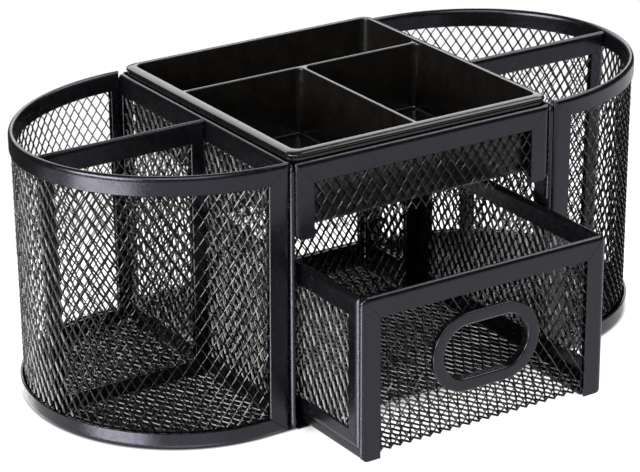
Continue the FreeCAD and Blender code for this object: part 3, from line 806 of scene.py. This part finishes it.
def tray_divider(x0, x1, y0, y1, base, top, along_y):
    """A wall across the tray: rounded top, and concave fillets where it meets the floor and both walls.

    Its half thickness is t / 2 plus R - sqrt(R^2 - (R - e)^2) for the distance e to a wall, and the same
    for the height above the floor.
    """
    length = (y1 - y0) if along_y else (x1 - x0)
    fillet, half, bury = TRAY_POCKET_CORNER, TRAY_DIVIDER_THICK / 2, TRAY_DIVIDER_BURY
    foot, bead = TRAY_FOOT, TRAY_DIVIDER_BEAD

    def flare(distance, radius):
        """How far a fillet stands out at this distance from the wall it runs into."""
        near = np.clip(radius - distance, 0, radius)
        return radius - np.sqrt(radius**2 - near**2)

    near = fillet * (1 - np.cos(np.linspace(0, math.pi / 2, FILLET_STEPS + 1)))
    s = np.concatenate([[-bury], near, length - near[::-1], [length + bury]])[:, None]
    wall = flare(np.minimum(s, length - s), fillet)
    rise = base + foot * (1 - np.cos(np.linspace(0, math.pi / 2, FOOT_STEPS + 1)))
    crown = np.linspace(0, math.pi / 2, BEAD_STEPS + 1)
    z = np.concatenate([[base - bury], rise, top - bead + bead * np.sin(crown)])[None]
    shrink = np.concatenate([np.zeros(len(rise) + 1), bead * (1 - np.cos(crown))])[None]
    lean = TRAY_DRAFT * (top - z) / (top - base) * TRAY_DIVIDER_DRAFT
    across = half + wall + flare(z - base, foot) + lean - shrink
    across = np.concatenate([across, -across[:, ::-1]], 1)
    height = np.concatenate([z, z[:, ::-1]], 1) + 0 * across
    s = s + 0 * across
    if along_y:
        rings = np.stack([(x0 + x1) / 2 + across, y0 + s, height], -1)
    else:
        rings = np.stack([x0 + s, (y0 + y1) / 2 + across, height], -1)
    return loft(rings)


def tray():
    """The moulded tray: drafted walls, a seat on the rails, a turned rim, one basin and two dividers.

    Rounded rectangles joined in order: up the outside, over the rim and down the inside. Each rounding is a
    quarter circle or ellipse: inset = r (1 - sin t), rise = r (1 - cos t), or the two exchanged.
    """
    lo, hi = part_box("tray")
    rim_x, rim_y, top = hi.x, hi.y, hi.z
    seat_x, seat_y = rim_x - TRAY_SEAT, rim_y - TRAY_SEAT
    body_x, body_y = inner_half - TRAY_GAP, half_depth - hem_thick - TRAY_GAP
    mouth_x, mouth_y = body_x - TRAY_WALL, body_y - TRAY_WALL
    floor = lo.z + TRAY_FLOOR
    turn = np.linspace(0, math.pi / 2, TRAY_ROUND_STEPS + 1)
    rings = []

    def ring(half_x, half_y, inset, z, radius):
        """Adds the rounded rectangle that lies this far inside the given one."""
        rings.append(rounded_ring(half_x - inset, half_y - inset, max(radius - inset, TRAY_SHARP), z))

    for t in turn:
        ring(body_x, body_y, TRAY_DRAFT + TRAY_EDGE * (1 - math.sin(t)),
             lo.z + TRAY_EDGE * (1 - math.cos(t)), TRAY_BODY_CORNER)
    ring(body_x, body_y, 0.0, box_height, TRAY_BODY_CORNER)
    for inset, rise in TRAY_SEAT_LINES:
        ring(seat_x, seat_y, inset, box_height + rise, TRAY_CORNER)
    for inset, rise in TRAY_BEAD_LINES:
        ring(rim_x, rim_y, inset, box_height + rise, TRAY_CORNER)
    lip, drop, foot = TRAY_LIP, TRAY_CROWN_DROP, TRAY_FOOT
    crown = rim_x - mouth_x - lip
    for t in np.linspace(0, math.pi / 2, TRAY_CROWN_STEPS):
        inset = crown * (1 - math.cos(t))
        corner = TRAY_CORNER + (TRAY_POCKET_CORNER - TRAY_CORNER) * inset / crown
        ring(rim_x, rim_y, inset, top - drop + drop * math.sin(t), corner + inset)
    for t in np.linspace(math.pi / 8, math.pi / 2, TRAY_LIP_STEPS):
        ring(mouth_x, mouth_y, -lip * (1 - math.sin(t)), top - lip * (1 - math.cos(t)), TRAY_POCKET_CORNER)
    for t in turn:
        ring(mouth_x, mouth_y, TRAY_DRAFT + foot * (1 - math.cos(t)), floor + foot * (1 - math.sin(t)),
             TRAY_POCKET_CORNER + TRAY_FOOT_CORNER)
    shells = [loft(np.array(rings)),
              tray_divider(-mouth_x, mouth_x, TRAY_DIVIDER_Y, TRAY_DIVIDER_Y, floor,
                           top - TRAY_DIVIDER_DROP, False),
              tray_divider(0, 0, -mouth_y, TRAY_DIVIDER_Y - TRAY_DIVIDER_THICK / 2, floor,
                           top - TRAY_DIVIDER_DROP, True)]
    piece("tray_moulding", "tray", "tray", tray_finish, shells, TRAY_CREASE)


# ---------------------------------------------------------------- studio

def arithmetic(nodes, links, operation, *values):
    """A math node on sockets and plain numbers."""
    made = nodes.new("ShaderNodeMath")
    made.operation = operation
    for socket, value in zip(made.inputs, values):
        if isinstance(value, (int, float)):
            socket.default_value = value
        else:
            links.new(value, socket)
    return made.outputs["Value"]


def floor():
    """A pale table top that reads white around the stand, with shade painted beneath it, where its colour
    is darkened and its glow cut off.

    The painted shade is where hypot(max(|x| - knee, 0) / nose, |y| / half) is under 1, for cups and
    housing, or where max(|x| / a, |y - c| / b) is, for the drawer.
    """
    corners = [(-TABLE_SIDE, TABLE_FRONT, 0), (TABLE_SIDE, TABLE_FRONT, 0),
               (TABLE_SIDE, TABLE_REAR, 0), (-TABLE_SIDE, TABLE_REAR, 0)]
    mesh = bpy.data.meshes.new("floor")
    mesh.from_pydata(corners, [], [(0, 1, 2, 3)])
    made = bpy.data.objects.new("floor", mesh)
    bpy.context.scene.collection.objects.link(made)
    material = bpy.data.materials.new("pale_floor")
    material.use_nodes = True
    nodes, links = material.node_tree.nodes, material.node_tree.links
    nodes.clear()

    def calculate(operation, *values):
        """A math node of the floor's own."""
        return arithmetic(nodes, links, operation, *values)

    axes = nodes.new("ShaderNodeSeparateXYZ")
    links.new(nodes.new("ShaderNodeTexCoord").outputs["Object"], axes.inputs["Vector"])
    x, y = calculate("ABSOLUTE", axes.outputs["X"]), axes.outputs["Y"]
    knee = half_width + CUP_FOOT_STRAIGHT
    nose = cup_reach - CUP_FOOT_DRAW_IN - CUP_FOOT_STRAIGHT
    beyond = calculate("DIVIDE", calculate("MAXIMUM", calculate("SUBTRACT", x, knee), 0.0), nose)
    beside = calculate("DIVIDE", y, half_depth - CUP_FOOT_TUCK)
    squares = calculate("POWER", beyond, 2.0), calculate("MULTIPLY", beside, beside)
    stand = calculate("SQRT", calculate("ADD", *squares))
    drawer_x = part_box("drawer_front_frame")[1].x
    reach = (half_depth + DRAWER_SHADE) / 2
    across = calculate("DIVIDE", x, drawer_x)
    forward = calculate("ABSOLUTE", calculate("SUBTRACT", y, half_depth - reach))
    along = calculate("DIVIDE", forward, reach)

    def open_share(form, start, stop):
        """Share of floor outside the painted shade, rising smoothly as the form's measure goes from start
        to stop.
        """
        share = nodes.new("ShaderNodeMapRange")
        share.interpolation_type = "SMOOTHSTEP"
        share.inputs["From Min"].default_value = start
        share.inputs["From Max"].default_value = stop
        links.new(form, share.inputs["Value"])
        return share.outputs["Result"]

    # Painted shade: the floor's colour falls to SHADE_PAINT beneath the stand and the drawer
    clear = calculate("MULTIPLY", open_share(stand, *STAND_SHADE_EDGE),
                      open_share(calculate("MAXIMUM", across, along), *DRAWER_SHADE_EDGE))
    path = nodes.new("ShaderNodeLightPath").outputs
    paint = nodes.new("ShaderNodeBsdfDiffuse")
    grey = calculate("MULTIPLY_ADD", clear, FLOOR_PAINT - SHADE_PAINT, SHADE_PAINT)
    tone = nodes.new("ShaderNodeCombineXYZ")
    for socket in tone.inputs:
        links.new(grey, socket)
    links.new(tone.outputs["Vector"], paint.inputs["Color"])
    glow = nodes.new("ShaderNodeEmission")
    glow.inputs["Color"].default_value = (1, 1, 1, 1)
    seen = calculate("MULTIPLY", path["Is Camera Ray"], FLOOR_GLOW)
    mirrored = calculate("MULTIPLY", path["Is Glossy Ray"], FLOOR_MIRRORED)
    # the glow is cut off beneath the stand too, as part of the painted shade
    links.new(calculate("MULTIPLY", clear, calculate("ADD", seen, mirrored)), glow.inputs["Strength"])
    gloss = nodes.new("ShaderNodeBsdfGlossy")
    gloss.inputs["Roughness"].default_value = FLOOR_ROUGHNESS
    polish = nodes.new("ShaderNodeMixShader")
    links.new(calculate("MULTIPLY", path["Is Glossy Ray"], FLOOR_POLISH), polish.inputs["Fac"])
    links.new(paint.outputs["BSDF"], polish.inputs[1])
    links.new(gloss.outputs["BSDF"], polish.inputs[2])
    both = nodes.new("ShaderNodeAddShader")
    links.new(polish.outputs["Shader"], both.inputs[0])
    links.new(glow.outputs["Emission"], both.inputs[1])
    links.new(both.outputs["Shader"], nodes.new("ShaderNodeOutputMaterial").inputs["Surface"])
    mesh.materials.append(material)


def softbox(name, place, width, height, power):
    """A rectangular soft light at place, turned towards the stand."""
    light = bpy.data.lights.new(name, "AREA")
    light.shape = "RECTANGLE"
    light.size, light.size_y, light.energy = width, height, power
    made = bpy.data.objects.new(name, light)
    made.location = place
    aim = Vector(LIGHT_TARGET) - Vector(place)
    made.rotation_euler = aim.to_track_quat("-Z", "Y").to_euler()
    bpy.context.scene.collection.objects.link(made)


def studio():
    """An even pale surround, and four soft lights: right, behind, low on the left and above the front."""
    world = bpy.data.worlds.new("surround")
    bpy.context.scene.world = world
    world.use_nodes = True
    nodes, links = world.node_tree.nodes, world.node_tree.links
    background = nodes["Background"]
    background.inputs["Color"].default_value = (1, 1, 1, 1)
    seen = nodes.new("ShaderNodeLightPath").outputs["Is Camera Ray"]
    strength = nodes.new("ShaderNodeMapRange")
    strength.inputs["To Min"].default_value = SURROUND
    strength.inputs["To Max"].default_value = 1.0
    links.new(seen, strength.inputs["Value"])
    links.new(strength.outputs["Result"], background.inputs["Strength"])
    for light in LIGHTS:
        softbox(*light)


def camera():
    """The camera stands on a line from its target, turned by azimuth, elevation and roll."""
    azimuth, elevation, roll = map(math.radians, (CAMERA_AZIMUTH, CAMERA_ELEVATION, CAMERA_ROLL))
    back = Vector((math.sin(azimuth) * math.cos(elevation), -math.cos(azimuth) * math.cos(elevation),
                   math.sin(elevation)))
    right = (-back).cross(Vector((0, 0, 1))).normalized()
    up = right.cross(-back)
    turned_right = math.cos(roll) * right + math.sin(roll) * up
    turned_up = math.cos(roll) * up - math.sin(roll) * right
    lens = bpy.data.cameras.new("camera")
    lens.sensor_fit = "HORIZONTAL"
    lens.sensor_width = SENSOR
    lens.lens = CAMERA_FOCAL / PICTURE_WIDTH * SENSOR
    made = bpy.data.objects.new("camera", lens)
    turn = Matrix((turned_right, turned_up, back)).transposed().to_4x4()
    made.matrix_world = Matrix.Translation(CAMERA_TARGET + CAMERA_DISTANCE * back) @ turn
    bpy.context.scene.collection.objects.link(made)
    bpy.context.scene.camera = made


side_panels()
rear_panel()
front_panel()
floor_panel()
cups()
drawer()
tray()
floor()
studio()
camera()
bpy.context.scene.view_settings.view_transform = "Standard"
